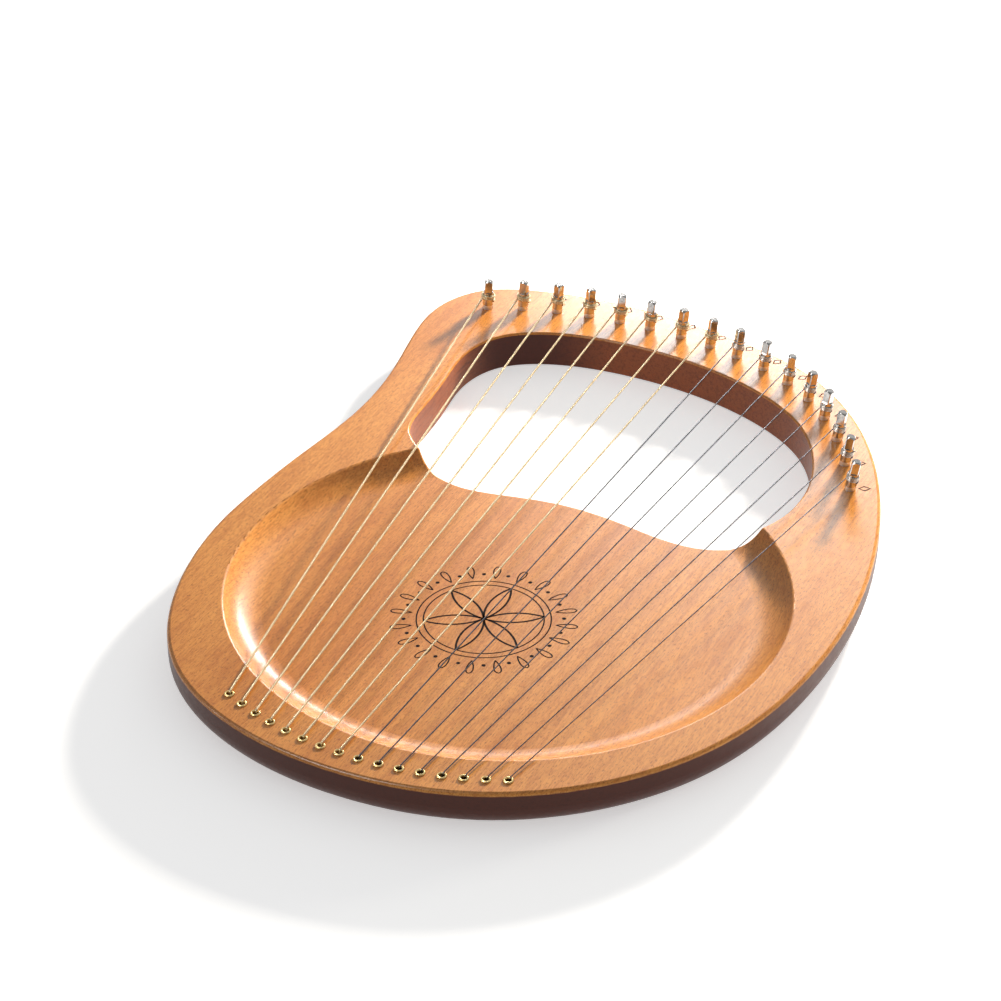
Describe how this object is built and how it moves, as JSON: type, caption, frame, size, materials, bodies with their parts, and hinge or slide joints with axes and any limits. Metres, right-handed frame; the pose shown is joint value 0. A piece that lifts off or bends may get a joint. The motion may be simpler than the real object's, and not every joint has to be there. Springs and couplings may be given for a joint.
{
  "type": "hand lyre",
  "caption": "Small wooden hand lyre with a round dished front, an open hand hole, a curved yoke of tuning pins and taut metal strings.",
  "frame": {"origin": "centre of the bounding box on the flat back, the plane that the lyre rests on", "axes": "+Y from the tail to the yoke, along the strings; +X from the bass side to the treble side; +Z out of the face"},
  "size_m": [0.284, 0.396, 0.0336],
  "materials": {
    "body_wood": "satin lacquer over open-grained red-brown hardwood",
    "back_wood": "satin lacquer",
    "brace_wood": "bare spruce",
    "pin_nickel": "bright nickel plate",
    "wound_string": "bronze winding",
    "plain_string": "drawn steel wire",
    "eyelet_brass": "polished brass",
    "ball_end_brass": "turned brass"
  },
  "bodies": {
    "lyre_body": {"body_shell": "body_wood", "back_plate": "back_wood", "upper_brace": "brace_wood", "lower_brace": "brace_wood", "string_01": "wound_string", "string_02": "wound_string", "string_03": "wound_string", "string_04": "wound_string", "string_05": "wound_string", "string_06": "wound_string", "string_07": "wound_string", "string_08": "wound_string", "string_09": "plain_string", "string_10": "plain_string", "string_11": "plain_string", "string_12": "plain_string", "string_13": "plain_string", "string_14": "plain_string", "string_15": "plain_string", "string_16": "plain_string", "string_eyelets": "eyelet_brass", "string_ball_ends": "ball_end_brass"},
    "pin_01": {"tuning_pin_01": "pin_nickel", "string_winding_01": "wound_string"},
    "pin_02": {"tuning_pin_02": "pin_nickel", "string_winding_02": "wound_string"},
    "pin_03": {"tuning_pin_03": "pin_nickel", "string_winding_03": "wound_string"},
    "pin_04": {"tuning_pin_04": "pin_nickel", "string_winding_04": "wound_string"},
    "pin_05": {"tuning_pin_05": "pin_nickel", "string_winding_05": "wound_string"},
    "pin_06": {"tuning_pin_06": "pin_nickel", "string_winding_06": "wound_string"},
    "pin_07": {"tuning_pin_07": "pin_nickel", "string_winding_07": "wound_string"},
    "pin_08": {"tuning_pin_08": "pin_nickel", "string_winding_08": "wound_string"},
    "pin_09": {"tuning_pin_09": "pin_nickel", "string_winding_09": "plain_string"},
    "pin_10": {"tuning_pin_10": "pin_nickel", "string_winding_10": "plain_string"},
    "pin_11": {"tuning_pin_11": "pin_nickel", "string_winding_11": "plain_string"},
    "pin_12": {"tuning_pin_12": "pin_nickel", "string_winding_12": "plain_string"},
    "pin_13": {"tuning_pin_13": "pin_nickel", "string_winding_13": "plain_string"},
    "pin_14": {"tuning_pin_14": "pin_nickel", "string_winding_14": "plain_string"},
    "pin_15": {"tuning_pin_15": "pin_nickel", "string_winding_15": "plain_string"},
    "pin_16": {"tuning_pin_16": "pin_nickel", "string_winding_16": "plain_string"}
  },
  "joints": [
    {"name": "pin_01_turn", "type": "hinge", "parent": "lyre_body", "child": "pin_01", "pos_m": [-0.1185, 0.164, 0.018], "axis": [-0.0523, 0, -0.9986], "range_deg": [-720, 90]},
    {"name": "pin_02_turn", "type": "hinge", "parent": "lyre_body", "child": "pin_02", "pos_m": [-0.1025, 0.171, 0.018], "axis": [-0.0593, 0, -0.9982], "range_deg": [-720, 90]},
    {"name": "pin_03_turn", "type": "hinge", "parent": "lyre_body", "child": "pin_03", "pos_m": [-0.086, 0.176, 0.018], "axis": [-0.0663, 0, -0.9978], "range_deg": [-720, 90]},
    {"name": "pin_04_turn", "type": "hinge", "parent": "lyre_body", "child": "pin_04", "pos_m": [-0.07, 0.179, 0.018], "axis": [-0.0732, 0, -0.9973], "range_deg": [-720, 90]},
    {"name": "pin_05_turn", "type": "hinge", "parent": "lyre_body", "child": "pin_05", "pos_m": [-0.054, 0.1805, 0.018], "axis": [-0.0802, 0, -0.9968], "range_deg": [-720, 90]},
    {"name": "pin_06_turn", "type": "hinge", "parent": "lyre_body", "child": "pin_06", "pos_m": [-0.038, 0.181, 0.018], "axis": [-0.0872, 0, -0.9962], "range_deg": [-720, 90]},
    {"name": "pin_07_turn", "type": "hinge", "parent": "lyre_body", "child": "pin_07", "pos_m": [-0.021, 0.1805, 0.018], "axis": [-0.0941, 0, -0.9956], "range_deg": [-720, 90]},
    {"name": "pin_08_turn", "type": "hinge", "parent": "lyre_body", "child": "pin_08", "pos_m": [-0.0045, 0.178, 0.018], "axis": [-0.1011, 0, -0.9949], "range_deg": [-720, 90]},
    {"name": "pin_09_turn", "type": "hinge", "parent": "lyre_body", "child": "pin_09", "pos_m": [0.011, 0.1745, 0.018], "axis": [-0.108, 0, -0.9942], "range_deg": [-720, 90]},
    {"name": "pin_10_turn", "type": "hinge", "parent": "lyre_body", "child": "pin_10", "pos_m": [0.027, 0.1695, 0.018], "axis": [-0.1149, 0, -0.9934], "range_deg": [-720, 90]},
    {"name": "pin_11_turn", "type": "hinge", "parent": "lyre_body", "child": "pin_11", "pos_m": [0.0425, 0.162, 0.018], "axis": [-0.1219, 0, -0.9925], "range_deg": [-720, 90]},
    {"name": "pin_12_turn", "type": "hinge", "parent": "lyre_body", "child": "pin_12", "pos_m": [0.057, 0.152, 0.018], "axis": [-0.1288, 0, -0.9917], "range_deg": [-720, 90]},
    {"name": "pin_13_turn", "type": "hinge", "parent": "lyre_body", "child": "pin_13", "pos_m": [0.07, 0.1395, 0.018], "axis": [-0.1357, 0, -0.9907], "range_deg": [-720, 90]},
    {"name": "pin_14_turn", "type": "hinge", "parent": "lyre_body", "child": "pin_14", "pos_m": [0.0825, 0.124, 0.018], "axis": [-0.1426, 0, -0.9898], "range_deg": [-720, 90]},
    {"name": "pin_15_turn", "type": "hinge", "parent": "lyre_body", "child": "pin_15", "pos_m": [0.0935, 0.1055, 0.018], "axis": [-0.1495, 0, -0.9888], "range_deg": [-720, 90]},
    {"name": "pin_16_turn", "type": "hinge", "parent": "lyre_body", "child": "pin_16", "pos_m": [0.1035, 0.0865, 0.018], "axis": [-0.1564, 0, -0.9877], "range_deg": [-720, 90]}
  ]
}
